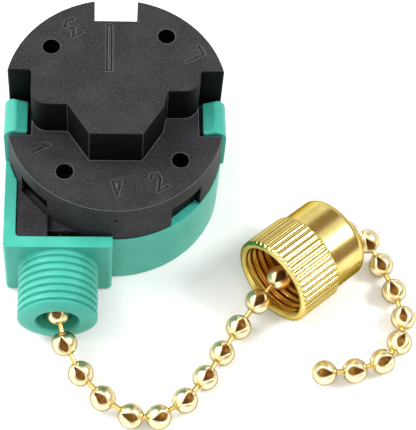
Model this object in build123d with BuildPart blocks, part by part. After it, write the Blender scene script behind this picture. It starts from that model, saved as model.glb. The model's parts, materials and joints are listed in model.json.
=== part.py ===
from build123d import *
import math
import os

os.makedirs("parts", exist_ok=True)

# Pull cord switch. Millimetres, +Z up. The origin is on the switch's turning axis, at its flat base,
# and the threaded nozzle points along -Y.

# Driving sizes
cover_radius = 13.65
skirt_step = 0.15
housing_wall = 1.5
housing_floor = 1.5
cover_wall = 1.4
rim_height = 9.8
corner_height = 11.3
low_height = 16.9
top_height = 23.1

# Chain
bead_diameter = 3.2
bead_pitch = 4.05
first_bead = 0.95
link_diameter = 0.8

# Nozzle and the flange that it stands on
nozzle_x = -7.07
nozzle_z = 5.75
nozzle_length = 7.6
nozzle_bore = 5.4
nozzle_round = 1.9
mouth_round = 0.35
thread_diameter = 10.0
thread_depth = 0.4
thread_pitch = 1.0
thread_turns = 7
thread_start = 0.85
thread_round = 0.08
flange_step = 0.05
flange_right = -0.3
flange_reach = 1.8
flange_thickness = 1.5
corner_back = -3.2
corner_round = 0.6
flange_round = 0.5
base_chamfer = 0.25
plate_width = 3.85
plate_length = 9.0
plate_round = 0.8
plate_drop = 0.2
web_thickness = 0.5
web_gap = 1.3
pillar_width = 1.8
pillar_depth = 1.6

# Latch arms and their channels in the cover
latch_half_width = 2.4
latch_step = 0.15
latch_thickness = 1.45
latch_top = 17.25
latch_round = 1.6
latch_slope = 0.5
latch_edge = 0.4
root_ramp = 0.15
hook_bottom = 15.6
hook_depth = 2.95
channel_half_width = 2.8
channel_depth = 3.2

# Raised block of the cover
nose_half_width = 3.28
nose_front = -6.42
left_shoulder = -2.2
left_shoulder_end = -5.96
right_shoulder = -0.15
right_shoulder_end = 6.35
right_slant_x = 5.9
right_slant_y = -2.3
shoulder_radius = 2.0
notch_half_width = 2.7
notch_bottom_y = 10.35
rim_round = 0.2
ejector_radius = 0.25
ejector_drop = 2.4

# Wire entries, windows and marks
wire_hole_diameter = 2.2
wire_circle = 10.19
wire_angles = {"three": 142.0, "line": 52.0, "one": -128.0, "two": -38.0}
window_turn = -10.4
window_width = 4.9
window_height = 4.35
window_depth = 1.0
guide_wall = 0.9
guide_inset = 0.4
gauge_x = -0.85
gauge_y = 6.2
gauge_width = 0.85
gauge_length = 7.1
gauge_line = 0.28
mark_depth = 0.25
mark_stroke = 0.45
mark_height = 2.5
mark_width = 1.6

# Mechanism
boss_radius = 3.0
boss_height = 0.4
trap_radius = 2.4
pin_radius = 1.25
pin_bottom = 0.8
pin_chamfer = 0.15
pin_top = 16.6
wheel_radius = 8.4
wheel_flange = 0.8
wheel_top = 8.5
tooth_height = 0.8
tooth_length = 5.0
tooth_inner = 3.2
tooth_outer = 6.2
ring_thickness = 0.8
ring_lift = 0.75
ring_radius = 6.4
hub_square = 4.2
rotor_radius = 8.2
rotor_bottom = 12.0
rotor_thickness = 1.4
star_thickness = 0.5
star_radius = 7.9
star_disc = 4.2
contact_place = 6.2
contact_radius = 0.7
strip_thickness = 0.5
strip_width = 3.0
strip_inner = 4.6
strip_outer = 9.1
strip_drop = 4.0
clamp_width = 2.6
clamp_thickness = 0.3
detent_radius = 1.0
detent_travel = 0.45
detent_wall = 0.35
notch_play = 0.25
return_wire = 0.5
return_turns = 5
ratchet_wire = 0.36
ratchet_turns = 1.6
detent_wire = 0.36
detent_turns = 3
detent_coil = 0.6
return_radius = 3.7
hub_radius = 2.8
pocket_radius = 4.5
pocket_top = 5.5
slot_bottom = 5.9
slot_wall = 0.6
ratchet_radius = 4.4
dog_width = 1.5
dog_inset = 0.5
washer_thickness = 0.25
washer_radius = 2.35
star_hub = 2.2
clamp_outside = 11.85
clamp_bend = 0.9
clamp_gap = 0.35
wound_beads = 4
inner_beads = 4

# Cap nut
nut_knurl_radius = 5.95
nut_body_radius = 5.57
nut_knurl_length = 6.3
nut_length = 11.65
nut_round = 1.0
nut_end_wall = 1.2
nut_hole = 4.1
nut_grooves = 44
nut_groove_depth = 0.32
nut_chamfer = 0.25
nut_collar_step = 0.15
nut_place = (19.78, -17.91)
nut_heading = 40.6
nut_thread_turns = 7

# Route of the free chain, from inside the nozzle to the end ball
pull_route = [
    (-7.07, -16.6, 5.75),
    (-7.07, -19.8, 5.6),
    (-7.0, -22.8, 5.05),
    (-6.15, -25.5, 3.5),
    (-4.2, -28.5, 1.8),
    (-1.6, -31.6, 1.62),
    (1.2, -33.8, 1.62),
    (4.0, -34.6, 1.62),
    (6.8, -33.8, 1.62),
    (9.5, -31.4, 1.62),
    (11.7, -28.6, 1.62),
    (13.8, -25.3, 1.62),
    (15.85, -21.9, 1.9),
    (18.3, -18.9, 3.2),
    (20.9, -16.1, 3.9),
    (23.2, -13.7, 4.9),
    (25.5, -11.95, 5.8),
    (28.1, -10.75, 5.6),
    (30.4, -9.75, 5.15),
    (32.3, -9.65, 4.1),
    (33.6, -10.5, 2.7),
    (34.6, -12.2, 1.8),
    (35.6, -14.6, 1.62),
    (36.8, -17.9, 1.62),
    (37.4, -21.2, 1.62),
    (36.4, -24.4, 1.62),
    (34.0, -26.9, 1.62),
    (30.4, -28.15, 1.62),
    (24.95, -28.2, 1.62),
]

# Clearances
seat_gap = 0.1
slide_gap = 0.1
running_gap = 0.05
bead_gap = 0.3
lift_gap = 0.1

# Sizes that follow from them
housing_radius = cover_radius + skirt_step
flange_left = -housing_radius - flange_step
flange_front = -housing_radius - flange_reach
latch_outside = housing_radius + latch_step
hook_reach = latch_outside - hook_depth
channel_inside = cover_radius - channel_depth
chamber_radius = cover_radius - cover_wall - running_gap
cup_radius = housing_radius - housing_wall
latch_inside = latch_outside - latch_thickness
ledge_top = hook_bottom - seat_gap
cheek_inside = channel_inside - cover_wall + seat_gap
low_roof = low_height - cover_wall
block_roof = top_height - cover_wall
flange_back = flange_front + flange_thickness
nozzle_end = flange_front - nozzle_length
thread_radius = thread_diameter / 2
root_radius = thread_radius - thread_depth
groove_half = 0.27 * thread_pitch
groove_flat = 0.08 * thread_pitch
bead_radius = bead_diameter / 2
drum_bottom = nozzle_z - bead_radius - bead_gap
drum_top = nozzle_z + bead_radius + bead_gap
wheel_bottom = drum_bottom - wheel_flange
drum_radius = -nozzle_x - bead_radius - bead_gap
boss_top = housing_floor + boss_height
hub_bottom = boss_top + slide_gap
bead_turn = math.degrees(2 * math.asin(bead_pitch / 2 / -nozzle_x))
ring_bottom = wheel_top + tooth_height + lift_gap + ring_lift
dog_height = ring_lift
rotor_top = rotor_bottom + rotor_thickness
star_top = rotor_top + star_thickness
strip_bottom = star_top + 2 * slide_gap
strip_top = strip_bottom + strip_thickness
detent_rest = rotor_radius + detent_radius + slide_gap
detent_z = rotor_bottom + rotor_thickness / 2
washer_top = strip_top + 0.2
inner_start = pull_route[0][1] - first_bead + inner_beads * bead_pitch
first_wound_angle = 180 - math.degrees((bead_pitch + inner_start) / -nozzle_x)
latch_root = math.sqrt(housing_radius**2 - latch_half_width**2)
marks = [
    (
        [[(0.1, 1), (0.9, 1), (0.45, 0.58), (0.8, 0.5), (0.95, 0.25), (0.6, 0), (0.1, 0.1)]],
        10.75,
        120.5,
        top_height,
    ),
    ([[(0.2, 1), (0.2, 0), (0.95, 0)]], 10.92, 28.7, top_height),
    ([[(0.25, 0.75), (0.55, 1), (0.55, 0)]], 10.46, -153.3, low_height),
    ([[(0.1, 0.8), (0.4, 1), (0.8, 0.85), (0.8, 0.6), (0.1, 0), (0.95, 0)]], 10.67, -60.8, low_height),
    ([[(0.2, 0.9), (0.5, 0.1), (0.8, 0.9), (0.2, 0.9)]], 10.36, -89.1, low_height),
]
nut_lean = (nut_knurl_radius - nut_body_radius) / (nut_length - nut_round - nut_knurl_length)
nut_tilt = math.degrees(math.atan(nut_lean))


def save(piece, name):
    """Label one finished piece and write it as its own file."""
    piece.label = name
    export_step(piece, "parts/" + name + ".step")


def polar(radius, angle, height=0.0):
    """Point at a radius and an angle in degrees about the switch's axis."""
    turn = math.radians(angle)
    return (radius * math.cos(turn), radius * math.sin(turn), height)


def radial_plane(angle, height=0.0):
    """Plane that stands on a radius: its x runs outwards and its y up."""
    turn = math.radians(angle)
    return Plane(
        origin=(0, 0, height),
        x_dir=(math.cos(turn), math.sin(turn), 0),
        z_dir=(math.sin(turn), -math.cos(turn), 0),
    )


def tooth_plane(angle):
    """Upright plane across a radius, at the inner end of a ratchet tooth: its x runs counter-clockwise."""
    turn = math.radians(angle)
    return Plane(
        origin=polar(tooth_inner, angle),
        x_dir=(-math.sin(turn), math.cos(turn), 0),
        z_dir=(math.cos(turn), math.sin(turn), 0),
    )


def coil(radius, wire, turns, bottom, top, plane=Plane.XY):
    """Coil spring between two heights of a plane, measured over the wire."""
    rise = top - bottom - wire
    start = plane.offset(bottom + wire / 2)
    with BuildPart() as spring:
        with BuildLine() as path:
            Helix(pitch=rise / turns, height=rise, radius=radius, center=start.origin, direction=start.z_dir)
        with BuildSketch(Plane(origin=path.line @ 0, z_dir=path.line % 0)):
            Circle(wire / 2)
        sweep(path=path.line, is_frenet=True)
    return spring.part


def bead_string(points, last_end=None):
    """Hollow-bead chain as balls at the points, joined by straight wire links."""
    stops = list(points)
    if last_end is not None:
        stops.append(last_end)
    with BuildPart() as string:
        for near, far in zip(stops[:-1], stops[1:]):
            run = Vector(*far) - Vector(*near)
            with Locations(Plane(origin=near, z_dir=run)):
                Sphere(bead_radius)
                Cylinder(link_diameter / 2, run.length, align=(Align.CENTER, Align.CENTER, Align.MIN))
        if last_end is None:
            with Locations(Plane(origin=stops[-1], z_dir=run)):
                Sphere(bead_radius)
    return string.part


def block_outline(inset=0.0):
    """Outline of the cover's raised block, drawn into the sketch that is open."""
    far = 2 * cover_radius
    with BuildSketch(mode=Mode.PRIVATE) as outline:
        with BuildLine():
            Polyline(
                (far, far),
                (-far, far),
                (-far, channel_half_width),
                (-channel_inside, channel_half_width),
                (-channel_inside, left_shoulder),
                (left_shoulder_end, left_shoulder),
                (-nose_half_width, nose_front),
                (nose_half_width, nose_front),
                (right_slant_x, right_slant_y),
                (right_shoulder_end, right_shoulder),
                (channel_inside, right_shoulder),
                (channel_inside, channel_half_width),
                (far, channel_half_width),
                close=True,
            )
        make_face()
        corners = outline.vertices().filter_by(
            lambda v: abs(abs(v.X) - channel_inside) < 0.01 and v.Y < channel_half_width - 0.01
        )
        fillet(corners, shoulder_radius)
        Circle(cover_radius, mode=Mode.INTERSECT)
        with Locations((0, notch_bottom_y + cover_radius / 2)):
            Rectangle(2 * notch_half_width, cover_radius, mode=Mode.SUBTRACT)
        if inset:
            offset(amount=-inset, kind=Kind.INTERSECTION, mode=Mode.REPLACE)
    return outline.sketch


def mark(strokes, radius, angle, level):
    """Sketch at a level of a mark drawn as round-ended strokes on a unit box, its top towards the axis."""
    middle = Vector(*polar(radius, angle))
    upward = -middle.normalized()
    across = Vector(upward.Y, -upward.X, 0)
    with BuildSketch(Plane.XY.offset(level)) as drawn:
        for stroke in strokes:
            points = [
                middle + across * ((u - 0.5) * mark_width) + upward * ((v - 0.5) * mark_height)
                for u, v in stroke
            ]
            for near, far in zip(points[:-1], points[1:]):
                run = far - near
                heading = math.degrees(math.atan2(run.Y, run.X))
                with Locations((near + far) * 0.5):
                    SlotCenterToCenter(run.length, mark_stroke, rotation=heading)
    return drawn.sketch


# Housing: round cup with a square corner, a flange with the threaded nozzle, and two latch arms.
with BuildPart() as housing:
    with BuildSketch():
        Circle(housing_radius)
    extrude(amount=rim_height)
    corner_middle = ((flange_left + flange_right) / 2, (flange_front + corner_back) / 2)
    with BuildSketch():
        with Locations(corner_middle):
            Rectangle(flange_right - flange_left, corner_back - flange_front)
    extrude(amount=corner_height)
    outer_corners = housing.edges().filter_by(Axis.Z).filter_by(lambda e: e.center().Y < flange_front + 0.1)
    fillet(outer_corners, flange_round)
    with BuildSketch(Plane.XY.offset(rim_height)):
        Circle(cover_radius + seat_gap)
    extrude(amount=corner_height, mode=Mode.SUBTRACT)
    cavity_left = flange_left + housing_wall
    cavity_right = flange_right - housing_wall
    with BuildSketch(Plane.XY.offset(housing_floor)) as cavity:
        with Locations((cavity_left, flange_back)):
            Rectangle(cavity_right - cavity_left, -flange_back, align=(Align.MIN, Align.MIN))
        fillet(cavity.vertices().sort_by(lambda v: v.X + v.Y)[0], corner_round)
        Circle(cup_radius)
    extrude(amount=corner_height, mode=Mode.SUBTRACT)
    with BuildSketch(Plane.XY.offset(rim_height)):
        with Locations((flange_right, flange_back)):
            Rectangle(2 * housing_wall, -flange_back, align=(Align.MAX, Align.MIN))
    extrude(amount=corner_height, mode=Mode.SUBTRACT)
    # pillar in the corner that carries the cover's corner plate
    with BuildSketch(Plane.XY.offset(housing_floor)):
        with Locations((cavity_left, flange_back)):
            Rectangle(pillar_width, pillar_depth, align=(Align.MIN, Align.MIN))
    extrude(amount=rim_height - housing_floor)
    # boss round the centre pin
    with BuildSketch(Plane.XY.offset(housing_floor)):
        Circle(boss_radius)
    extrude(amount=boss_top - housing_floor)
    with BuildSketch(Plane.XY.offset(pin_bottom)):
        Circle(pin_radius)
    extrude(amount=boss_top, mode=Mode.SUBTRACT)
    # latch arms with hooks that snap over the cover's ledges
    shoulder = latch_outside - latch_round
    arc_angles = [math.radians(angle) for angle in (0, 45, 90)]
    arc_points = [
        (shoulder + latch_round * math.cos(angle), latch_top - latch_round + latch_round * math.sin(angle))
        for angle in arc_angles
    ]
    with BuildSketch(Plane.XZ) as latch_profile:
        with BuildLine():
            ThreePointArc(*arc_points)
            Polyline(
                arc_points[-1],
                (hook_reach, latch_top - latch_slope),
                (hook_reach, hook_bottom),
                (latch_inside, hook_bottom),
                (latch_inside, housing_floor),
                (latch_root, housing_floor),
                (latch_root, rim_height - root_ramp),
                (latch_outside, rim_height + root_ramp),
                arc_points[0],
            )
        make_face()
        nose = latch_profile.vertices().group_by(Axis.X)[0].sort_by(Axis.Z)[-1]
        fillet(nose, latch_round / 3)
        mirror(about=Plane.YZ)
    extrude(amount=latch_half_width, both=True)
    hook_edges = housing.edges().filter_by(
        lambda e: all(
            abs(abs(v.Y) - latch_half_width) < 0.01 and v.Z > hook_bottom + seat_gap for v in e.vertices()
        )
        and abs(abs(e.center().Y) - latch_half_width) < 0.01
    )
    fillet(hook_edges, latch_edge)
    # nozzle: neck, ridges of the thread and a rounded end
    nozzle_plane = Plane(origin=(nozzle_x, 0, nozzle_z), x_dir=(0, -1, 0), z_dir=(0, 0, 1))
    nozzle_axis = Axis((nozzle_x, 0, nozzle_z), (0, -1, 0))
    grooves = []
    for turn in range(thread_turns):
        middle = -flange_front + thread_start + turn * thread_pitch
        grooves.append((middle - groove_half, thread_radius))
        grooves.append((middle - groove_flat, root_radius))
        grooves.append((middle + groove_flat, root_radius))
        grooves.append((middle + groove_half, thread_radius))
    last_crest = grooves[-1][0]
    face_radius = thread_radius - nozzle_round
    with BuildSketch(nozzle_plane) as nozzle_profile:
        with BuildLine():
            Polyline(
                (-nozzle_end, face_radius),
                (-nozzle_end, 0),
                (-flange_back, 0),
                (-flange_back, thread_radius),
            )
            Polyline((-flange_back, thread_radius), *grooves)
            ThreePointArc(
                (last_crest, thread_radius),
                (
                    last_crest + (-nozzle_end - last_crest) * math.sin(math.pi / 4),
                    face_radius + nozzle_round * math.cos(math.pi / 4),
                ),
                (-nozzle_end, face_radius),
            )
        make_face()
        thread_corners = nozzle_profile.vertices().filter_by(
            lambda v: v.X > nozzle_x + root_radius - 0.01 and v.Y < flange_front - 0.01
        )
        fillet(thread_corners, thread_round)
    revolve(axis=nozzle_axis)
    with BuildSketch(Plane.XZ.offset(-flange_back - 1)):
        with Locations((nozzle_x, nozzle_z)):
            Circle(nozzle_bore / 2)
    extrude(amount=nozzle_length + flange_thickness + 2, mode=Mode.SUBTRACT)
    mouth_edges = (
        housing.edges()
        .filter_by(GeomType.CIRCLE)
        .filter_by(lambda e: abs(e.radius - nozzle_bore / 2) < 0.01)
        .sort_by(Axis.Y)
    )
    fillet(mouth_edges[0], mouth_round)
    base_edges = housing.faces().sort_by(Axis.Z)[0].outer_wire().edges()
    chamfer(base_edges, base_chamfer)
save(housing.part, "housing")

# Cover: low drum, raised block, wire entries, latch channels, windows and a corner plate.
with BuildPart() as cover:
    with BuildSketch(Plane.XY.offset(rim_height)):
        Circle(cover_radius)
    extrude(amount=low_height - rim_height)
    with BuildSketch(Plane.XY.offset(low_height)):
        add(block_outline())
    extrude(amount=top_height - low_height)
    top_face = cover.faces().sort_by(Axis.Z)[-1]
    fillet(top_face.outer_wire().edges(), rim_round)
    # contact chamber, with cheeks behind the latch channels
    with BuildSketch(Plane.XY.offset(rim_height)):
        Circle(chamber_radius)
        cheek = chamber_radius - cheek_inside + 1
        with Locations((cheek_inside + cheek / 2, 0), (-cheek_inside - cheek / 2, 0)):
            Rectangle(cheek, 2 * channel_half_width + 2 * cover_wall, mode=Mode.SUBTRACT)
    extrude(amount=low_roof - rim_height, mode=Mode.SUBTRACT)
    with BuildSketch(Plane.XY.offset(low_roof - 0.01)):
        add(block_outline(cover_wall))
    extrude(amount=block_roof - low_roof, mode=Mode.SUBTRACT)
    # latch channels: wide above the ledge, shallow below it
    for side in (-1, 1):
        with BuildSketch(Plane.XY.offset(ledge_top)):
            with Locations((side * (channel_inside + cover_radius / 2), 0)):
                Rectangle(cover_radius, 2 * channel_half_width)
        extrude(amount=top_height, mode=Mode.SUBTRACT)
        with BuildSketch(Plane.XY.offset(rim_height)):
            with Locations((side * (latch_inside - seat_gap + cover_radius / 2), 0)):
                Rectangle(cover_radius, 2 * channel_half_width)
        extrude(amount=top_height, mode=Mode.SUBTRACT)
    # centre boss that traps the rotor and holds the pin
    with BuildSketch(Plane.XY.offset(washer_top)):
        Circle(trap_radius)
    extrude(amount=block_roof - strip_top)
    with BuildSketch(Plane.XY.offset(washer_top)):
        Circle(pin_radius)
    extrude(amount=pin_top - washer_top, mode=Mode.SUBTRACT)
    # wire entries with guide tubes down to the terminals
    for name, angle in wire_angles.items():
        roof = top_height if name in ("line", "three") else low_height
        with BuildSketch(Plane.XY.offset(strip_top)):
            with Locations(polar(wire_circle, angle)):
                Circle(wire_hole_diameter / 2 + guide_wall)
        extrude(amount=roof - strip_top - guide_inset)
        with BuildSketch(Plane.XY.offset(strip_top - 1)):
            with Locations(polar(wire_circle, angle)):
                Circle(wire_hole_diameter / 2)
        extrude(amount=roof, mode=Mode.SUBTRACT)
    # boss for the detent ball
    with BuildSketch(Plane.XY.offset(detent_z - detent_radius - detent_wall)):
        with Locations((0, (detent_rest + 0.1 + chamber_radius + 0.2) / 2)):
            Rectangle(2 * detent_radius + 4 * detent_wall, chamber_radius + 0.1 - detent_rest)
    extrude(amount=2 * detent_radius + 2 * detent_wall)
    with BuildSketch(Plane.XZ.offset(-chamber_radius + 0.1)):
        with Locations((0, detent_z)):
            Circle(detent_radius + running_gap)
    extrude(amount=chamber_radius - detent_rest + 1, mode=Mode.SUBTRACT)
    # corner plate beside the chain
    plate_left = flange_left + housing_wall + seat_gap
    plate_front = flange_back + seat_gap
    with BuildSketch(Plane.XY.offset(rim_height)) as plate_outline:
        with Locations((plate_left, plate_front)):
            Rectangle(plate_width, plate_length, align=(Align.MIN, Align.MIN))
        fillet(plate_outline.vertices().sort_by(lambda v: v.X + v.Y)[0], plate_round)
        Circle(chamber_radius + 0.1, mode=Mode.SUBTRACT)
    extrude(amount=corner_height - rim_height - plate_drop)
    # recesses in the skirt beside the clamps
    for angle in wire_angles.values():
        with BuildSketch(radial_plane(angle + window_turn, rim_height)):
            with Locations((cover_radius - window_depth, window_height / 2)):
                Rectangle(window_depth + running_gap, window_height, align=(Align.MIN, Align.CENTER))
        extrude(amount=window_width / 2, both=True, mode=Mode.SUBTRACT)
    # lower web that closes most of the corner over the chain
    web_front = flange_back + web_gap
    web_right = flange_right - housing_wall - seat_gap
    with BuildSketch(Plane.XY.offset(rim_height)):
        with Locations((plate_left, web_front)):
            Rectangle(web_right - plate_left, plate_length - web_gap, align=(Align.MIN, Align.MIN))
        Circle(chamber_radius + 0.1, mode=Mode.SUBTRACT)
    extrude(amount=web_thickness)
    # marks: wire numbers, arrow and strip gauge
    for strokes, radius, angle, surface in marks:
        extrude(mark(strokes, radius, angle, surface - mark_depth), amount=1, mode=Mode.SUBTRACT)
    with BuildSketch(Plane.XY.offset(top_height - mark_depth)):
        with Locations((gauge_x, gauge_y)):
            Rectangle(gauge_width, gauge_length)
            Rectangle(gauge_width - 2 * gauge_line, gauge_length - 2 * gauge_line, mode=Mode.SUBTRACT)
    extrude(amount=1, mode=Mode.SUBTRACT)
    # ejector mark on the skirt
    with BuildSketch(Plane.XZ.offset(cover_radius - mark_depth)):
        with Locations((0, low_height - ejector_drop)):
            Circle(ejector_radius)
    extrude(amount=1, mode=Mode.SUBTRACT)
save(cover.part, "cover")

# Centre pin: steel axle pressed into the housing's boss and the cover's boss.
with BuildPart() as centre_pin:
    with BuildSketch(Plane.XY.offset(pin_bottom)):
        Circle(pin_radius)
    extrude(amount=pin_top - pin_bottom)
    chamfer(centre_pin.edges().filter_by(GeomType.CIRCLE), pin_chamfer)
save(centre_pin.part, "centre_pin")

# Thrust washer between the rotor and the cover's boss.
with BuildPart() as thrust_washer:
    with BuildSketch(Plane.XY.offset(washer_top - washer_thickness)):
        Circle(washer_radius)
        Circle(pin_radius + running_gap, mode=Mode.SUBTRACT)
    extrude(amount=washer_thickness)
save(thrust_washer.part, "thrust_washer")

# Pull wheel: grooved drum for the chain, with ratchet teeth on top and a pocket for the spring below.
with BuildPart() as pull_wheel:
    with BuildSketch(Plane.XZ):
        with BuildLine():
            Polyline(
                (pin_radius + running_gap, hub_bottom),
                (hub_radius, hub_bottom),
                (hub_radius, pocket_top),
                (pocket_radius, pocket_top),
                (pocket_radius, wheel_bottom),
                (wheel_radius, wheel_bottom),
                (wheel_radius, drum_bottom),
                (drum_radius, drum_bottom),
                (drum_radius, drum_top),
                (wheel_radius, drum_top),
                (wheel_radius, wheel_top),
                (pin_radius + running_gap, wheel_top),
                close=True,
            )
        make_face()
    revolve(axis=Axis.Z)
    # slotted wall that holds the last ball of the chain
    wall_angle = first_wound_angle - 2.5 * bead_turn
    with BuildSketch(radial_plane(wall_angle)):
        with Locations(((drum_radius + wheel_radius) / 2, nozzle_z)):
            Rectangle(wheel_radius - drum_radius + 0.2, drum_top - drum_bottom)
        with Locations((wheel_radius, nozzle_z)):
            Rectangle(2 * (wheel_radius - slot_bottom), link_diameter + 2 * bead_gap, mode=Mode.SUBTRACT)
    extrude(amount=slot_wall / 2, both=True)
    # ramped teeth, upright towards the driving side
    for quarter in range(4):
        with BuildSketch(tooth_plane(90 * quarter)):
            with BuildLine():
                Polyline(
                    (-tooth_length / 2, wheel_top - 0.1),
                    (tooth_length / 2, wheel_top - 0.1),
                    (tooth_length / 2, wheel_top + tooth_height),
                    (-tooth_length / 2, wheel_top),
                    close=True,
                )
            make_face()
        extrude(amount=tooth_outer - tooth_inner)
save(pull_wheel.part, "pull_wheel")

# Chain wound on the wheel, and the straight stretch from the wheel to the nozzle.
wound_points = [polar(-nozzle_x, first_wound_angle - turn * bead_turn, nozzle_z) for turn in range(wound_beads)]
save(bead_string(wound_points), "wound_chain")
inner_points = [(nozzle_x, inner_start - place * bead_pitch, nozzle_z) for place in range(inner_beads)]
save(bead_string(inner_points, pull_route[0]), "inner_chain")

# Return spring under the wheel.
save(coil(return_radius, return_wire, return_turns, boss_top, pocket_top - 0.1), "return_spring")

# Ratchet ring: slides on the rotor's square hub; its dogs meet the wheel's teeth. Drawn lifted.
with BuildPart() as ratchet_ring:
    with BuildSketch(Plane.XY.offset(ring_bottom)):
        Circle(ring_radius)
        Rectangle(hub_square + 2 * slide_gap, hub_square + 2 * slide_gap, mode=Mode.SUBTRACT)
    extrude(amount=ring_thickness)
    for quarter in range(4):
        with BuildSketch(tooth_plane(90 * quarter)):
            with Locations((tooth_length / 2 + slide_gap, ring_bottom - dog_height)):
                Rectangle(dog_width, dog_height + 0.1, align=(Align.MIN, Align.MIN))
        extrude(amount=tooth_outer - tooth_inner - dog_inset)
save(ratchet_ring.part, "ratchet_ring")
ratchet_spring_bottom = ring_bottom + ring_thickness
save(coil(ratchet_radius, ratchet_wire, ratchet_turns, ratchet_spring_bottom, rotor_bottom), "ratchet_spring")

# Rotor: disc on a square hub, with four detent notches in its rim.
with BuildPart() as rotor:
    with BuildSketch(Plane.XY.offset(wheel_top + 2 * slide_gap)):
        Rectangle(hub_square, hub_square)
    extrude(amount=rotor_bottom - wheel_top)
    with BuildSketch(Plane.XY.offset(rotor_bottom)):
        Circle(rotor_radius)
        with PolarLocations(detent_rest - detent_travel, 4):
            Circle(detent_radius + notch_play, mode=Mode.SUBTRACT)
    extrude(amount=rotor_thickness)
    with BuildSketch(Plane.XY.offset(rotor_top)):
        Circle(star_hub)
    extrude(amount=washer_top - washer_thickness - slide_gap - rotor_top)
    Hole(pin_radius + running_gap)
save(rotor.part, "rotor")

# Contact star: brass, with three arms for four wires.
with BuildPart() as contact_star:
    with BuildSketch(Plane.XY.offset(rotor_top)):
        Circle(star_disc)
        for place, angle in enumerate(wire_angles.values()):
            if place < 3:
                with Locations(Plane.XY.rotated((0, 0, angle))):
                    with Locations((star_radius / 2, 0)):
                        Rectangle(star_radius, strip_width)
        Circle(star_hub + running_gap, mode=Mode.SUBTRACT)
    extrude(amount=star_thickness)
save(contact_star.part, "contact_star")

# Terminals and their wire clamps, one pair at each wire entry.
for name, angle in wire_angles.items():
    with BuildPart() as terminal:
        with BuildSketch(radial_plane(angle)):
            with BuildLine():
                Polyline(
                    (strip_inner, strip_bottom),
                    (strip_outer - strip_thickness, strip_bottom),
                    (strip_outer - strip_thickness, strip_top - strip_drop),
                    (strip_outer, strip_top - strip_drop),
                    (strip_outer, strip_top),
                    (strip_inner, strip_top),
                    close=True,
                )
            make_face()
        extrude(amount=strip_width / 2, both=True)
        with BuildSketch(Plane.XY.offset(star_top + slide_gap)):
            with Locations(polar(contact_place, angle)):
                Circle(contact_radius)
        extrude(amount=slide_gap + 0.1)
    save(terminal.part, "terminal_" + name)
    with BuildPart() as clamp:
        clamp_foot = strip_top - strip_drop
        with BuildSketch(radial_plane(angle)):
            with BuildLine():
                Polyline(
                    (clamp_outside, clamp_foot),
                    (clamp_outside, strip_top - clamp_thickness / 2),
                    (clamp_outside - clamp_bend, strip_top - clamp_thickness / 2),
                    (strip_outer + clamp_gap, clamp_foot + clamp_bend),
                )
            trace(line_width=clamp_thickness)
        extrude(amount=clamp_width / 2, both=True)
    save(clamp.part, "wire_clamp_" + name)

# Detent ball and its spring, in the cover's boss behind the rotor. Drawn pressed back.
with BuildPart() as detent_ball:
    with Locations((0, detent_rest, detent_z)):
        Sphere(detent_radius)
save(detent_ball.part, "detent_ball")
detent_plane = Plane(origin=(0, 0, detent_z), z_dir=(0, 1, 0))
detent_back = chamber_radius - 0.2
detent_front = detent_rest + detent_radius
save(coil(detent_coil, detent_wire, detent_turns, detent_front, detent_back, detent_plane), "detent_spring")

# Pull chain: the free stretch, from inside the nozzle through the cap nut to the bare end ball.
chain_radii = []
for before, here, after in zip(pull_route[:-2], pull_route[1:-1], pull_route[2:]):
    arriving = Vector(*here) - Vector(*before)
    leaving = Vector(*after) - Vector(*here)
    turn = arriving.get_angle(leaving)
    chain_radii.append(0.45 * min(arriving.length, leaving.length) / math.tan(math.radians(turn / 2)))
with BuildPart() as pull_chain:
    with BuildLine() as chain_path:
        FilletPolyline(*pull_route, radius=chain_radii)
    with BuildSketch(Plane(origin=chain_path.wire() @ 0, z_dir=chain_path.wire() % 0)):
        Circle(bead_radius)
    sweep(path=chain_path.wire())
save(pull_chain.part, "pull_chain")
print("pull chain length", round(chain_path.wire().length, 2), "bend radii", [round(r, 1) for r in chain_radii])
expected_volume = math.pi * bead_radius**2 * chain_path.wire().length
print("pull chain volume share", round(pull_chain.part.volume / expected_volume, 4))

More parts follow.
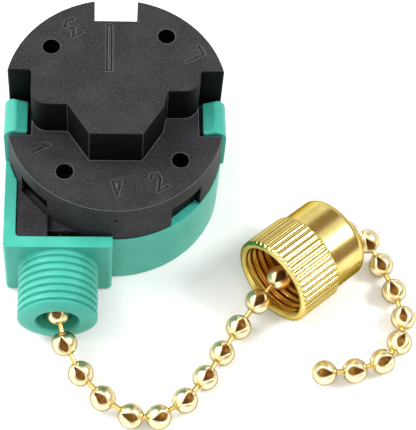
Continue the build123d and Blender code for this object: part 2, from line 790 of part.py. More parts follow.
# Cap nut: knurled collar and smooth body, threaded inside, with a hole for the chain at its far end.
nut_direction = Vector(
    math.cos(math.radians(nut_heading)) * math.cos(math.radians(nut_tilt)),
    math.sin(math.radians(nut_heading)) * math.cos(math.radians(nut_tilt)),
    -math.sin(math.radians(nut_tilt)),
)
collar_lift = nut_knurl_radius * math.cos(math.radians(nut_tilt))
nut_lift = collar_lift + nut_knurl_length * math.sin(math.radians(nut_tilt))
nut_mouth = (*nut_place, nut_lift)
nut_upward = nut_direction.cross(Vector(0, 0, 1)).cross(nut_direction)
nut_plane = Plane(origin=nut_mouth, x_dir=nut_direction, z_dir=nut_upward)
nut_axis = Axis(nut_mouth, tuple(nut_direction))
with BuildPart() as cap_nut:
    groove_radius = thread_radius + slide_gap
    nut_thread_radius = root_radius + slide_gap
    inner_profile = [(0, groove_radius), (groove_radius - nut_thread_radius, nut_thread_radius)]
    for turn in range(nut_thread_turns):
        middle = groove_radius - nut_thread_radius + (turn + 0.5) * thread_pitch
        inner_profile.append((middle - groove_half, nut_thread_radius))
        inner_profile.append((middle - groove_flat, groove_radius))
        inner_profile.append((middle + groove_flat, groove_radius))
        inner_profile.append((middle + groove_half, nut_thread_radius))
    with BuildSketch(nut_plane):
        with BuildLine():
            Polyline(
                *inner_profile,
                (nut_length - nut_end_wall, nut_thread_radius),
                (nut_length - nut_end_wall, nut_hole / 2),
                (nut_length, nut_hole / 2),
                (nut_length, nut_body_radius - nut_round),
            )
            ThreePointArc(
                (nut_length, nut_body_radius - nut_round),
                (
                    nut_length - nut_round + nut_round * math.cos(math.pi / 4),
                    nut_body_radius - nut_round + nut_round * math.sin(math.pi / 4),
                ),
                (nut_length - nut_round, nut_body_radius),
            )
            Polyline(
                (nut_length - nut_round, nut_body_radius),
                (nut_knurl_length + nut_collar_step, nut_body_radius),
                (nut_knurl_length, nut_knurl_radius - 0.1),
                (nut_knurl_length - 0.1, nut_knurl_radius),
                (nut_chamfer, nut_knurl_radius),
                (0, nut_knurl_radius - nut_chamfer),
                inner_profile[0],
            )
        make_face()
    revolve(axis=nut_axis)
    groove_plane = Plane(origin=nut_mouth, x_dir=nut_plane.y_dir, z_dir=nut_direction)
    with BuildSketch(groove_plane.offset(-0.5)):
        with PolarLocations(nut_knurl_radius + nut_collar_step, nut_grooves):
            Rectangle(2 * nut_groove_depth, 2 * nut_groove_depth, rotation=45)
    extrude(amount=nut_knurl_length + 0.4, mode=Mode.SUBTRACT)
save(cap_nut.part, "cap_nut")
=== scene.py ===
import bpy
import json
import math
import numpy as np
from mathutils import Matrix, Vector


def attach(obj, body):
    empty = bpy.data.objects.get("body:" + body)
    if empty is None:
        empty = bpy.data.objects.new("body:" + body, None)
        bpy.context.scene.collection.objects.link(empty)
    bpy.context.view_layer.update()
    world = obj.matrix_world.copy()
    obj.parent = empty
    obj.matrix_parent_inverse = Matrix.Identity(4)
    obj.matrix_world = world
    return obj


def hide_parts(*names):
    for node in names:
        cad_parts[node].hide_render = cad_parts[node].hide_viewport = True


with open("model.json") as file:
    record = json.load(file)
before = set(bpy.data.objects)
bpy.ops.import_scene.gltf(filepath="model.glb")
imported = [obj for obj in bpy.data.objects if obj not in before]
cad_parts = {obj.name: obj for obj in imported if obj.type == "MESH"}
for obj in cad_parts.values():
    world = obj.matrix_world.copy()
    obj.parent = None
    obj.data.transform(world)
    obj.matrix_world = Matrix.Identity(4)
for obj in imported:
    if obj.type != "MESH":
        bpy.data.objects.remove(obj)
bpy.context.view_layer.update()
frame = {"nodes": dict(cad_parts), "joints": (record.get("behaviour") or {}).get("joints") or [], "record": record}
mm = 0.001
tiny = 1e-6


# A number, colour or vector that a node gives; + - * on it add Math nodes.
class Wire:
    def __init__(self, nodes, socket):
        self.nodes = nodes
        self.socket = socket

    def maths(self, operation, *values):
        return self.nodes.add("ShaderNodeMath", {"operation": operation}, values)

    def __add__(self, other):
        return self.maths("ADD", self, other)

    def __radd__(self, other):
        return self.maths("ADD", other, self)

    def __sub__(self, other):
        return self.maths("SUBTRACT", self, other)

    def __rsub__(self, other):
        return self.maths("SUBTRACT", other, self)

    def __mul__(self, other):
        return self.maths("MULTIPLY", self, other)

    def __rmul__(self, other):
        return self.maths("MULTIPLY", other, self)

    # 0 below low and 1 above high, with a smooth rise between.
    def rise(self, low, high):
        settings = {"interpolation_type": "SMOOTHSTEP"}
        return self.nodes.add("ShaderNodeMapRange", settings, (self, low, high, 0.0, 1.0))


# A node tree. One method adds any node: its type, its settings, then the values or links of its sockets.
class Nodes:
    def __init__(self, tree):
        self.tree = tree

    def put(self, socket, value):
        if isinstance(value, Wire):
            self.tree.links.new(value.socket, socket)
        elif socket.type == "RGBA":
            socket.default_value = (*value, 1.0)
        else:
            socket.default_value = value

    def add(self, kind, settings, values, output=0):
        made = self.tree.nodes.new(kind)
        for name, value in settings.items():
            setattr(made, name, value)
        for key, value in values.items() if isinstance(values, dict) else enumerate(values):
            self.put(made.inputs[key], value)
        return Wire(self, made.outputs[output])

    def place(self):
        return self.add("ShaderNodeTexCoord", {}, {}, "Object")

    def noise(self, scale, detail=2.0, stretch=None):
        where = self.place()
        if stretch:
            where = self.add("ShaderNodeMapping", {}, {"Vector": where, "Scale": stretch})
        return self.add("ShaderNodeTexNoise", {}, {"Vector": where, "Scale": scale, "Detail": detail})

    def mix(self, factor, one, two):
        return self.add("ShaderNodeMix", {"data_type": "RGBA"}, {0: factor, 6: one, 7: two}, 2)

    def dot(self, one, two):
        return self.add("ShaderNodeVectorMath", {"operation": "DOT_PRODUCT"}, (one, two), 1)

    # A number kept on the mesh's points.
    def mark(self, name):
        return self.add("ShaderNodeAttribute", {"attribute_name": name}, {}, "Fac")


# One finish: its Principled shader's fixed sockets are given by name.
class Finish(Nodes):
    def __init__(self, name, **sockets):
        self.material = bpy.data.materials.new(name)
        self.material.use_nodes = True
        super().__init__(self.material.node_tree)
        self.surface = self.tree.nodes["Principled BSDF"]
        for socket, value in sockets.items():
            self.set(socket.replace("_", " "), value)

    def set(self, name, value):
        self.put(self.surface.inputs[name], value)

    # Soft edges of a given radius in metres, and a mask of where they are.
    def softEdges(self, radius):
        rounded = self.add("ShaderNodeBevel", {"samples": 6}, {"Radius": radius})
        flat = self.add("ShaderNodeNewGeometry", {}, {}, "Normal")
        return rounded, (1.0 - self.dot(rounded, flat)).rise(0.004, 0.16)

    def bump(self, height, strength, distance, normal=None):
        values = {"Strength": strength, "Distance": distance, "Height": height}
        if normal:
            values["Normal"] = normal
        self.set("Normal", self.add("ShaderNodeBump", {}, values))

    def on(self, *nodes):
        for node in nodes:
            mesh = frame["nodes"][node].data if isinstance(node, str) else node.data
            mesh.materials.clear()
            mesh.materials.append(self.material)


# Puts a grid of points into a new mesh, closed round in the directions asked.
def gridMesh(name, points, closedU=False, closedV=False):
    rows, columns = points.shape[:2]
    index = np.arange(rows * columns).reshape(rows, columns)
    if closedU:
        index = np.concatenate([index, index[:1]], axis=0)
    if closedV:
        index = np.concatenate([index, index[:, :1]], axis=1)
    corners = np.stack([index[:-1, :-1], index[1:, :-1], index[1:, 1:], index[:-1, 1:]], axis=-1)
    return rawMesh(name, points.reshape(-1, 3), corners.reshape(-1, 4))


# Puts points and four-cornered faces into a new object, shaded smooth.
def rawMesh(name, points, corners):
    mesh = bpy.data.meshes.new(name)
    mesh.from_pydata(points.tolist(), [], corners.tolist())
    mesh.polygons.foreach_set("use_smooth", [True] * len(mesh.polygons))
    mesh.update()
    made = bpy.data.objects.new(name, mesh)
    bpy.context.scene.collection.objects.link(made)
    return made


camera = {
    "target": (12.53, -4.486, 0.0),   # mm, where the picture's centre falls on the floor
    "distance": 226.7,                # mm
    "azimuth": -7.638,                # degrees from straight in front
    "elevation": 60.22,
    "roll": 7.03,
    "lens": 142.36,
    "sensor": 36,
    "nearest": 0.01,                  # m
}


def placeCamera(values):
    azimuth, elevation, roll = (math.radians(values[key]) for key in ("azimuth", "elevation", "roll"))
    back = Vector((
        math.sin(azimuth) * math.cos(elevation),
        -math.cos(azimuth) * math.cos(elevation),
        math.sin(elevation),
    ))
    level = Vector((math.cos(azimuth), math.sin(azimuth), 0))
    upright = back.cross(level)
    across = level * math.cos(roll) + upright * math.sin(roll)
    up = upright * math.cos(roll) - level * math.sin(roll)
    lens = bpy.data.cameras.new("camera")
    lens.lens = values["lens"]
    lens.sensor_width = values["sensor"]
    lens.clip_start = values["nearest"]
    held = bpy.data.objects.new("camera", lens)
    bpy.context.scene.collection.objects.link(held)
    stance = Matrix((across, up, back)).transposed().to_4x4()
    stance.translation = (Vector(values["target"]) + back * values["distance"]) * mm
    held.matrix_world = stance
    bpy.context.scene.camera = held


placeCamera(camera)
print("camera placed")


chain = {
    "radius": 1.6,            # of a ball, mm
    "pitch": 4.05,            # length of a link's wire, from centre to centre
    "link": 0.31,
    "balls": 24,
    "stations": {             # ball number: its distance along the route; the others lie evenly between
        0: 0.95, 2: 9.05, 5: 21.8, 6: 25.3, 9: 37.4, 11: 45.65,
        12: 49.85, 17: 68.4, 19: 76.4, 21: 83.6, 23: 91.4,
    },
    "linkFlare": 0.3,         # a link is this much thicker where it enters a ball
    "linkRows": 9,
    "linkSides": 16,
    "dimple": 0.58,           # radius of the hole at each pole
    "dimpleLips": [(0.04, 0.12), (0.28, 0.2)],   # how far in from the rim, and from the hole's edge
    "dimpleFloor": 0.3,
    "rows": 40,
    "columns": 56,
    "crowding": 0.82,         # of the columns round the seam
    "seamFacing": (-0.07, -0.49, 0.87),
    "seamFrom": -0.74,        # along the ball's axis, in radii
    "seamTo": 0.78,
    "seamHalfWidth": 0.44,
    "seamSkew": 1.6,
    "seamFullness": 0.7,
    "seamLean": 0.05,
    "seamTip": 0.02,          # the least share of the leaf's width that counts
    "seamEdge": (-0.01, 0.05),
    "seamDepth": 0.22,
    "aim": 0.4,               # distance to each side over which a ball's direction is taken
}

# The same route as the chain's solid, mm.
route = [
    (-7.07, -16.6, 5.75),
    (-7.07, -19.8, 5.6),
    (-7.0, -22.8, 5.05),
    (-6.15, -25.5, 3.5),
    (-4.2, -28.5, 1.8),
    (-1.6, -31.6, 1.62),
    (1.2, -33.8, 1.62),
    (4.0, -34.6, 1.62),
    (6.8, -33.8, 1.62),
    (9.5, -31.4, 1.62),
    (11.7, -28.6, 1.62),
    (13.8, -25.3, 1.62),
    (15.85, -21.9, 1.9),
    (18.3, -18.9, 3.2),
    (20.9, -16.1, 3.9),
    (23.2, -13.7, 4.9),
    (25.5, -11.95, 5.8),
    (28.1, -10.75, 5.6),
    (30.4, -9.75, 5.15),
    (32.3, -9.65, 4.1),
    (33.6, -10.5, 2.7),
    (34.6, -12.2, 1.8),
    (35.6, -14.6, 1.62),
    (36.8, -17.9, 1.62),
    (37.4, -21.2, 1.62),
    (36.4, -24.4, 1.62),
    (34.0, -26.9, 1.62),
    (30.4, -28.15, 1.62),
    (24.95, -28.2, 1.62),
]


# A smooth NURBS line through the route's bends, read back as points in metres.
def smoothLine(points):
    curve = bpy.data.curves.new("route", "CURVE")
    curve.dimensions = "3D"
    spline = curve.splines.new("NURBS")
    spline.points.add(len(points) - 1)
    for point, place in zip(spline.points, points):
        point.co = (*(value * mm for value in place), 1.0)
    spline.order_u = 3
    spline.use_endpoint_u = True
    spline.resolution_u = 24
    carrier = bpy.data.objects.new("route", curve)
    bpy.context.scene.collection.objects.link(carrier)
    mesh = bpy.data.meshes.new_from_object(carrier)
    line = np.empty(len(mesh.vertices) * 3)
    mesh.vertices.foreach_get("co", line)
    bpy.data.objects.remove(carrier)
    return line.reshape(-1, 3)


# Points at given distances along a line, whose coordinates are interpolated over the length travelled.
def along(line, distances):
    steps = np.linalg.norm(np.diff(line, axis=0), axis=1)
    travelled = np.concatenate([[0.0], np.cumsum(steps)])
    return np.stack([np.interp(distances, travelled, line[:, axis]) for axis in range(3)], axis=-1)


# Right-handed frames: the third axis is each direction, and the first is as near as it can be to facing.
def framesFor(directions, facing):
    forward = directions / np.linalg.norm(directions, axis=1, keepdims=True)
    first = np.array(facing) - forward * (forward @ np.array(facing))[:, None]
    first /= np.linalg.norm(first, axis=1, keepdims=True)
    return np.stack([first, np.cross(forward, first), forward], axis=-1)


# A profile (distance along, radius) is carried round the third axis at the given angles.
def turned(profile, angles):
    reach = profile[:, 1][:, None]
    length = np.broadcast_to(profile[:, 0][:, None], (len(profile), len(angles)))
    return np.stack([reach * np.cos(angles), reach * np.sin(angles), length], axis=-1)


# Copies of one grid, closed round its columns, at several places and frames.
def copies(template, places, frames):
    rows, columns = template.shape[:2]
    points = places[:, None, :] + np.einsum("kij,nj->kni", frames, template.reshape(-1, 3))
    index = np.arange(rows * columns).reshape(rows, columns)
    index = np.concatenate([index, index[:, :1]], axis=1)
    corners = np.stack([index[:-1, :-1], index[:-1, 1:], index[1:, 1:], index[1:, :-1]], axis=-1)
    shifted = corners.reshape(-1, 4)[None] + (np.arange(len(places)) * rows * columns)[:, None, None]
    return points.reshape(-1, 3), shifted.reshape(-1, 4)


# A smooth step from 0 to 1 as value goes from low to high.
def smoothStep(value, low, high):
    share = np.clip((value - low) / (high - low), 0, 1)
    return share * share * (3 - 2 * share)


# A ball is a circle turned about the chain, with a rounded dimple at each pole. Its columns crowd
# together round the closing seam, a leaf-shaped gap. The leaf's half width is the sine of the share of its
# length; the share is raised to a power to skew the leaf, and the sine to another to fill it out. Inside
# the leaf the radius is less by the seam's depth.
def ballGrid(values):
    radius = values["radius"]
    edge = math.asin(values["dimple"] / radius)
    turn = np.linspace(math.pi - edge, edge, values["rows"])
    body = np.stack([radius * np.cos(turn), radius * np.sin(turn)], axis=-1)
    rim = radius * math.cos(edge)
    lips = [(rim - inwards, values["dimple"] - closer) for inwards, closer in values["dimpleLips"]]
    inward = np.array([*lips, (rim - values["dimpleFloor"], 0.0)])
    profile = np.concatenate([inward[::-1] * np.array([-1.0, 1.0]), body, inward])
    angles = np.arange(values["columns"]) / values["columns"] * 2 * math.pi
    angles = angles - values["crowding"] * np.sin(angles)
    grid = turned(profile, angles)
    start, end = values["seamFrom"], values["seamTo"]
    travelled = (grid[..., 2] / radius - start) / (end - start)
    skewed = np.clip(travelled, tiny, 1 - tiny) ** values["seamSkew"]
    leaf = np.sin(math.pi * skewed) ** values["seamFullness"]
    across = grid[..., 1] / radius - values["seamLean"] * leaf
    half = values["seamHalfWidth"] * leaf
    facing = (grid[..., 0] > 0) * (leaf > values["seamTip"])
    inside = smoothStep(half - np.abs(across), *values["seamEdge"]) * facing
    grid *= (1 - values["seamDepth"] * inside)[..., None]
    return grid * mm, inside, travelled


def makeChain(values):
    line = smoothLine(route)
    length = np.linalg.norm(np.diff(line, axis=0), axis=1).sum()
    pitch = values["pitch"] * mm
    count = values["balls"]
    known = values["stations"]
    distances = np.interp(np.arange(count), list(known), list(known.values())) * mm
    centres = along(line, distances)
    aim = values["aim"] * mm
    ahead = along(line, distances + aim) - along(line, distances - aim)
    grid, inside, travelled = ballGrid(values)
    points, corners = copies(grid, centres, framesFor(ahead, values["seamFacing"]))
    seam = np.tile(inside.ravel(), count)
    depth = np.tile(travelled.ravel(), count)
    # links: a straight wire between each pair of balls, a little thicker where it enters them
    share = np.linspace(0, 1, values["linkRows"])
    waist = values["link"] * (1 + values["linkFlare"] * (2 * share - 1) ** 6)
    sides = np.linspace(0, 2 * math.pi, values["linkSides"], endpoint=False)
    rod = turned(np.stack([share * pitch, waist * mm], axis=-1), sides)
    runs = np.diff(centres, axis=0)
    rodPoints, rodCorners = copies(rod, centres[:-1], framesFor(runs, values["seamFacing"]))
    corners = np.concatenate([corners, rodCorners + len(points)])
    points = np.concatenate([points, rodPoints])
    made = rawMesh("bead_chain", points, corners)
    onBall = np.zeros(len(seam))
    for name, worth, onRod in (("seam", seam, 0.0), ("depth", depth, 0.0), ("link", onBall, 1.0)):
        whole = np.concatenate([worth, np.full(len(rodPoints), onRod)]).astype(np.float32)
        made.data.attributes.new(name, "FLOAT", "POINT").data.foreach_set("value", whole)
    return made, line, length, centres


beadChain, chainLine, chainLength, ballCentres = makeChain(chain)
print("chain", len(ballCentres), "balls,", round(chainLength * 1000, 1), "mm")


nut = {
    "knurlRadius": 5.95,
    "bodyRadius": 5.57,
    "knurlLength": 6.3,
    "length": 11.65,
    "lip": [(0.0, 5.1), (0.0, 5.25), (0.0, 5.5), (0.06, 5.6), (0.16, 5.72)],   # along the axis, radius
    "collarRows": (0.26, 0.16, 26),   # from the mouth, before the step, how many
    "step": [(-0.06, 0.3), (0.0, 0.12), (0.04, 0.02), (0.14, 0.0)],   # past the collar, over the body
    "bodyRows": (0.4, 0.1, 8),        # from the collar's end, before the round, how many
    "endRound": 1.0,
    "endRoundRows": 9,
    "endWall": 1.2,
    "endRing": 3.6,           # radius of a row on the flat end
    "hole": 2.05,
    "holeOpening": 0.12,
    "holeChamfer": 0.1,
    "mouth": [(0.3, 4.82), (0.14, 4.97)],
    "ridges": 44,
    "ridgeDepth": 0.34,
    "ridgeWidth": 0.97,
    "ridgeStart": (0.05, 0.4),
    "ridgeEnd": (-0.22, 0.02),        # from the collar's end
    "ridgeFloor": 0.03,       # rows higher than this over the body are ridged
    "columnsPerRidge": 8,
    "boreRadius": 4.7,
    "boreStart": 0.42,
    "threadDepth": 0.36,
    "threadPitch": 1.0,
    "threadTurns": 8,
    "rowsPerTurn": 12,
    "threadFlank": (0.28, 0.92),
    "threadStart": (0.2, 0.7),
    "threadEnd": (8.6, 9.2),
    "insideRadius": 4.95,     # rows nearer to the axis get the bore's painted shade
    "insideStart": (0.1, 1.6),
    "insideEnd": 0.4,         # from the flat end
}


# Rows at one radius: places along the axis, each beside the same distance from it.
def straightRows(places, radius):
    return np.stack([places, np.full(len(places), radius)], axis=-1)


# A closed line of (distance along, radius) points round the nut's wall, from the mouth over the outside
# and back through the bore. The round at the far end is a quarter circle.
def nutProfile(values):
    knurl, body, length = values["knurlRadius"], values["bodyRadius"], values["length"]
    collarEnd, hole, chamfer = values["knurlLength"], values["hole"], values["holeChamfer"]
    corner = np.linspace(0, math.pi / 2, values["endRoundRows"])
    endRound = np.stack([
        length - values["endRound"] * (1 - np.sin(corner)),
        body - values["endRound"] * (1 - np.cos(corner)),
    ], axis=-1)
    floor = length - values["endWall"]
    start, before, rows = values["collarRows"]
    collar = straightRows(np.linspace(start, collarEnd - before, rows), knurl)
    start, before, rows = values["bodyRows"]
    roundStart = length - values["endRound"]
    barrel = straightRows(np.linspace(collarEnd + start, roundStart - before, rows), body)
    rows = values["threadTurns"] * values["rowsPerTurn"]
    return np.concatenate([
        values["lip"],
        collar,
        [(collarEnd + past, body + over) for past, over in values["step"]],
        barrel,
        endRound,
        [(length, values["endRing"]), (length, hole + values["holeOpening"])],
        [(length - chamfer, hole), (floor + chamfer, hole), (floor, hole + chamfer)],
        straightRows(np.linspace(floor, values["boreStart"], rows), values["boreRadius"]),
        values["mouth"],
    ])[::-1]   # this way round, the faces point outwards


# The profile is carried round the nut's axis. Outside, the collar's radius follows a row of circular
# ridges; inside, the radius follows a helix, whose phase is the distance over the pitch plus the turn.
def makeNut(values):
    joint = [each for each in frame["joints"] if each["name"] == "nut_spin"][0]
    columns = values["ridges"] * values["columnsPerRidge"]
    turn = np.arange(columns) / columns
    profile = nutProfile(values)
    place = profile[:, 0][:, None]
    radius = np.repeat(profile[:, 1][:, None], columns, axis=1)
    # collar
    across = np.abs(2 * ((turn * values["ridges"]) % 1.0) - 1.0)
    ridge = np.sqrt(1 - (values["ridgeWidth"] * across) ** 2)[None, :]
    onCollar = (profile[:, 1] > values["bodyRadius"] + values["ridgeFloor"])[:, None] * 1.0
    ending = smoothStep(place, *(values["knurlLength"] + past for past in values["ridgeEnd"]))
    strength = smoothStep(place, *values["ridgeStart"]) * (1 - ending)
    radius = radius - values["ridgeDepth"] * (1 - ridge) * onCollar * strength
    # thread
    phase = (place / values["threadPitch"] + turn[None, :]) % 1.0
    groove = smoothStep(1 - np.abs(2 * phase - 1), *values["threadFlank"])
    inBore = (np.abs(profile[:, 1] - values["boreRadius"]) < tiny)[:, None] * 1.0
    reach = smoothStep(place, *values["threadStart"]) * (1 - smoothStep(place, *values["threadEnd"]))
    radius = radius + values["threadDepth"] * groove * inBore * reach
    # round the axis
    angles = 2 * math.pi * turn
    axis = Vector(joint["axis"]).normalized()
    side = Vector((0, 0, 1)).cross(axis).normalized()
    basis = np.array([side, axis.cross(side), axis])
    lengthwise = np.broadcast_to(place, radius.shape)
    local = np.stack([radius * np.cos(angles), radius * np.sin(angles), lengthwise], axis=-1)
    points = np.array(joint["pos_m"]) + local @ basis * mm
    made = gridMesh("brass_cap_nut", points, closedU=True, closedV=True)
    within = profile[:, 1] < values["insideRadius"]
    within = within * (profile[:, 0] < values["length"] - values["insideEnd"])
    inner = smoothStep(profile[:, 0], *values["insideStart"]) * within
    inside = np.repeat(inner[:, None], columns, axis=1).ravel().astype(np.float32)
    made.data.attributes.new("inside", "FLOAT", "POINT").data.foreach_set("value", inside)
    return made


capNut = makeNut(nut)
print("cap nut made")


teal = {
    "colour": (0.050, 0.405, 0.315),
    "deep": (0.038, 0.340, 0.262),
    "paleHighlight": (0.12, 0.50, 0.41),
    "paleHighlightAmount": 0.5,
    "roughness": 0.34,
    "roughnessSpread": 0.12,
    "softEdge": 0.00022,      # m
    "cloudScale": 260.0,
    "grainScale": 5200.0,
    "grainBump": (0.12, 0.00004),     # strength, height in m
    "under": (0.4, 1.0, 0.9),
}


# Satin moulding with a faint cloud in its colour and paler edges, a painted highlight.
def makeTeal(values):
    finish = Finish("teal_plastic", IOR=1.38, Subsurface_Weight=0.15, Subsurface_Scale=0.001,
                    Subsurface_Radius=values["under"])
    rounded, edge = finish.softEdges(values["softEdge"])
    cloud = finish.noise(values["cloudScale"], 3.0)
    body = finish.mix(cloud.rise(0.3, 0.75), values["deep"], values["colour"])
    # painted highlight: the rounded edges are mixed towards the pale colour
    finish.set("Base Color", finish.mix(edge * values["paleHighlightAmount"], body, values["paleHighlight"]))
    finish.set("Roughness", values["roughness"] + finish.noise(1800.0) * values["roughnessSpread"])
    finish.bump(finish.noise(values["grainScale"], 3.0), *values["grainBump"], rounded)
    return finish


black = {
    "colour": (0.019, 0.019, 0.0215),
    "cloudy": (0.028, 0.028, 0.031),
    "speck": (0.075, 0.075, 0.08),
    "speckAmount": 0.55,
    # lighter edges: partly wear, partly a painted highlight
    "wornAndHighlit": (0.20, 0.20, 0.21),
    "wornAndHighlitAmount": 0.75,
    # painted shade: the near-black colour of the upright walls inside the skirt
    "wall": (0.0018, 0.0018, 0.0022),
    "skirtRadius": 0.0134,    # m, upright walls nearer to the axis are smooth and painted near black, a painted shade
    "skirtBlend": 0.00015,
    "deck": 0.0160,           # m, edges above this height are worn and carry a painted highlight
    "deckBlend": 0.0004,
    "roughness": 0.46,
    "roughnessSpread": 0.14,
    "softEdge": 0.00018,
    "cloudScale": 330.0,
    "grainScale": 5200.0,
    "grainBump": (0.5, 0.00006),
}


# Grained moulding. Upright walls inside the skirt are smooth and darker, a painted shade, and the upper edges are
# lighter, partly wear and partly a painted highlight.
def makeBlack(values):
    finish = Finish("black_plastic", IOR=1.18)
    rounded, edge = finish.softEdges(values["softEdge"])
    grain = finish.noise(values["grainScale"], 4.0)
    cloud = finish.noise(values["cloudScale"], 3.0)
    facing = finish.dot(finish.add("ShaderNodeTexCoord", {}, {}, "Normal"), (0.0, 0.0, 1.0))
    height = finish.dot(finish.place(), (0.0, 0.0, 1.0))
    flat = (finish.place(), (1.0, 1.0, 0.0))
    level = finish.add("ShaderNodeVectorMath", {"operation": "MULTIPLY"}, flat)
    radius = finish.add("ShaderNodeVectorMath", {"operation": "LENGTH"}, (level,), 1)
    reach = values["skirtRadius"]
    # painted shade mask: upright walls inside the skirt, which are painted near black
    shadedWalls = (1.0 - facing.rise(0.35, 0.85)) * (1.0 - radius.rise(reach, reach + values["skirtBlend"]))
    body = finish.mix(cloud.rise(0.3, 0.75), values["colour"], values["cloudy"])
    speckled = finish.mix(grain.rise(0.52, 0.70) * values["speckAmount"], body, values["speck"])
    walled = finish.mix(shadedWalls, speckled, values["wall"])
    high = height.rise(values["deck"], values["deck"] + values["deckBlend"])
    # painted highlight and wear: the upper edges are mixed towards the lighter colour
    finish.set("Base Color", finish.mix(edge * high * values["wornAndHighlitAmount"], walled, values["wornAndHighlit"]))
    finish.set("Roughness", values["roughness"] + finish.noise(2600.0) * values["roughnessSpread"])
    finish.bump(grain, *values["grainBump"], rounded)
    return finish


ballBrass = {
    "colour": (0.93, 0.83, 0.54),
    "warm": (0.88, 0.74, 0.42),
    # near-black edge tint darkens each ball's rim at grazing angles, a painted dark reflection
    "edge": (0.10, 0.06, 0.02),
    "link": (0.78, 0.58, 0.20),
    "seamReflectionDark": (0.10, 0.036, 0.008),
    "seamReflectionBrown": (0.23, 0.115, 0.022),
    "mottleScale": 1500.0,
    "mottle": 0.6,
    "roughness": 0.26,
    "roughnessSpread": 0.06,
    "seamRoughness": 0.25,
}


# Bright plated brass. Inside a ball's seam it is dark, and lighter towards one end: a painted dark reflection.
def makeBallBrass(values):
    finish = Finish("chain_brass", Metallic=1.0, Specular_Tint=values["edge"])
    seam, depth, link = (finish.mark(name) for name in ("seam", "depth", "link"))
    mottle = finish.noise(values["mottleScale"]) * values["mottle"]
    # painted reflection: the seam's inside is dark brown, lighter towards one end
    inner = finish.mix((depth + mottle - 0.3).rise(0.35, 0.85), values["seamReflectionDark"], values["seamReflectionBrown"])
    outer = finish.mix(finish.noise(420.0).rise(0.3, 0.7), values["warm"], values["colour"])
    finish.set("Base Color", finish.mix(seam, finish.mix(link, outer, values["link"]), inner))
    plating = finish.noise(900.0) * values["roughnessSpread"]
    finish.set("Roughness", values["roughness"] + plating + seam * values["seamRoughness"])
    return finish


nutBrass = {
    "colour": (0.74, 0.62, 0.24),
    "deep": (0.66, 0.53, 0.18),
    "boreShade": (0.68, 0.37, 0.085),
    # dark edge tint darkens the rims at grazing angles, a painted dark reflection
    "edge": (0.30, 0.20, 0.06),
    "cloudScale": 240.0,
    "roughness": 0.17,
    "roughnessSpread": 0.10,
    "grainScale": 3500.0,
    "grainBump": (0.05, 0.00003),
}


# Polished brass, duller and warmer in the bore, a painted shade.
def makeNutBrass(values):
    finish = Finish("nut_brass", Metallic=1.0, Specular_Tint=values["edge"])
    cloud = finish.noise(values["cloudScale"], 3.0)
    outer = finish.mix(cloud.rise(0.35, 0.7), values["deep"], values["colour"])
    # painted shade: the bore turns darker and warmer from the mouth inwards
    finish.set("Base Color", finish.mix(finish.mark("inside"), outer, values["boreShade"]))
    finish.set("Roughness", values["roughness"] + finish.noise(1100.0, 3.0) * values["roughnessSpread"])
    finish.bump(finish.noise(values["grainScale"]), *values["grainBump"])
    return finish


# A colour that clouds between a darker share of itself and its full strength.
def clouded(finish, cloud, colour, share):
    return finish.mix(cloud.rise(0.35, 0.7), tuple(share * part for part in colour), colour)


# A plain metal, with its roughness in fine streaks.
def makeMetal(name, colour, roughness):
    finish = Finish(name, Metallic=1.0)
    streak = finish.noise(900.0, 3.0, stretch=(1.0, 1.0, 6.0))
    finish.set("Base Color", clouded(finish, streak, colour, 0.8))
    finish.set("Roughness", roughness + streak * 0.14)
    return finish


# A plain moulding or board, with a faint cloud in its colour.
def makePlain(name, colour, roughness, grain):
    finish = Finish(name)
    cloud = finish.noise(grain, 3.0)
    finish.set("Base Color", clouded(finish, cloud, colour, 0.85))
    finish.set("Roughness", roughness + cloud * 0.12)
    finish.bump(finish.noise(grain * 8), 0.2, 0.00004)
    return finish


works = {                     # the pieces inside: colour, roughness, and a moulding's grain
    "steel": ((0.60, 0.60, 0.61), 0.26),
    "contactBrass": ((0.80, 0.56, 0.26), 0.28),
    "white": ((0.78, 0.77, 0.72), 0.38, 400.0),
    "fibre": ((0.42, 0.17, 0.09), 0.66, 1200.0),
}
finishes = {
    "teal_plastic": makeTeal(teal),
    "black_plastic": makeBlack(black),
    "steel": makeMetal("steel", *works["steel"]),
    "contact_brass": makeMetal("contact_brass", *works["contactBrass"]),
    "white_plastic": makePlain("white_plastic", *works["white"]),
    "fibre": makePlain("fibre", *works["fibre"]),
    "chain_brass": makeBallBrass(ballBrass),
    "nut_brass": makeNutBrass(nutBrass),
}
for part in frame["record"]["subparts"]:
    finishes[part["material_slot"]].on(part["node"])
finishes["chain_brass"].on(beadChain)
finishes["nut_brass"].on(capNut)
print("finishes made")


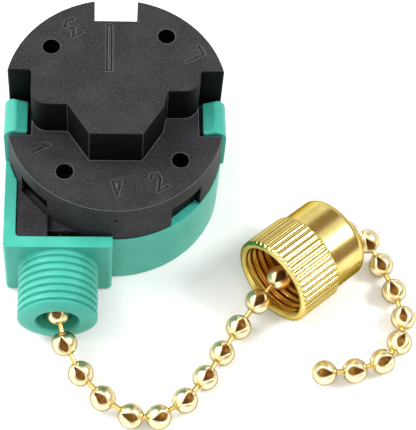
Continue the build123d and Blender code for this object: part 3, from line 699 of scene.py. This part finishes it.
light = {
    "bright": (-0.60, 0.10, 0.79),          # towards the brightest part of the tent
    "brightFrom": -0.55,
    "brightTo": 0.55,
    "strength": 1.0,
    "sky": (1.26, 1.26, 1.26),
    "low": (0.24, 0.24, 0.25),
    "cards": [                              # dark cards: direction, cosines of the soft edge
        ((0.129, 0.70, 0.702), 0.915, 0.985),
        ((0.93, -0.32, 0.16), 0.74, 0.94),
    ],
    "card": (0.36, 0.23, 0.15),
    "lamps": [                              # direction, reach in m, diameter in m, watts
        ((0.721, 0.010, 0.693), 0.5, 0.18, 1.6),
        ((-0.66, 0.16, 0.73), 0.6, 0.42, 3.2),
    ],
}


def makeLight(values):
    world = bpy.data.worlds.new("studio")
    world.use_nodes = True
    bpy.context.scene.world = world
    nodes = Nodes(world.node_tree)
    towards = nodes.add("ShaderNodeTexCoord", {}, {}, "Generated")
    high = nodes.dot(towards, values["bright"]).rise(values["brightFrom"], values["brightTo"])
    tent = nodes.mix(high, values["low"], values["sky"])
    for direction, outer, inner in values["cards"]:
        tent = nodes.mix(nodes.dot(towards, direction).rise(outer, inner), tent, values["card"])
    background = world.node_tree.nodes["Background"]
    nodes.put(background.inputs["Color"], tent)
    background.inputs["Strength"].default_value = values["strength"]
    for direction, reach, size, power in values["lamps"]:
        lamp = bpy.data.lights.new("softbox", "AREA")
        lamp.shape = "DISK"
        lamp.size = size
        lamp.energy = power
        held = bpy.data.objects.new("softbox", lamp)
        bpy.context.scene.collection.objects.link(held)
        aim = Vector(direction).normalized()
        held.location = aim * reach
        held.rotation_euler = aim.to_track_quat("Z", "Y").to_euler()


makeLight(light)
bpy.context.scene.view_settings.view_transform = "Standard"
sides = np.array([-1.0, 1.0])   # m, the floor is a flat square
square = np.meshgrid(sides, sides, indexing="ij")
floorSheet = gridMesh("floor", np.stack([*square, np.zeros((2, 2))], axis=-1))
makePlain("floor_paper", (0.92, 0.92, 0.92), 0.9, 60.0).on(floorSheet)
print("light set")

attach(beadChain, "chain")
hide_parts("pull_chain")
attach(capNut, "nut")
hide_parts("cap_nut")
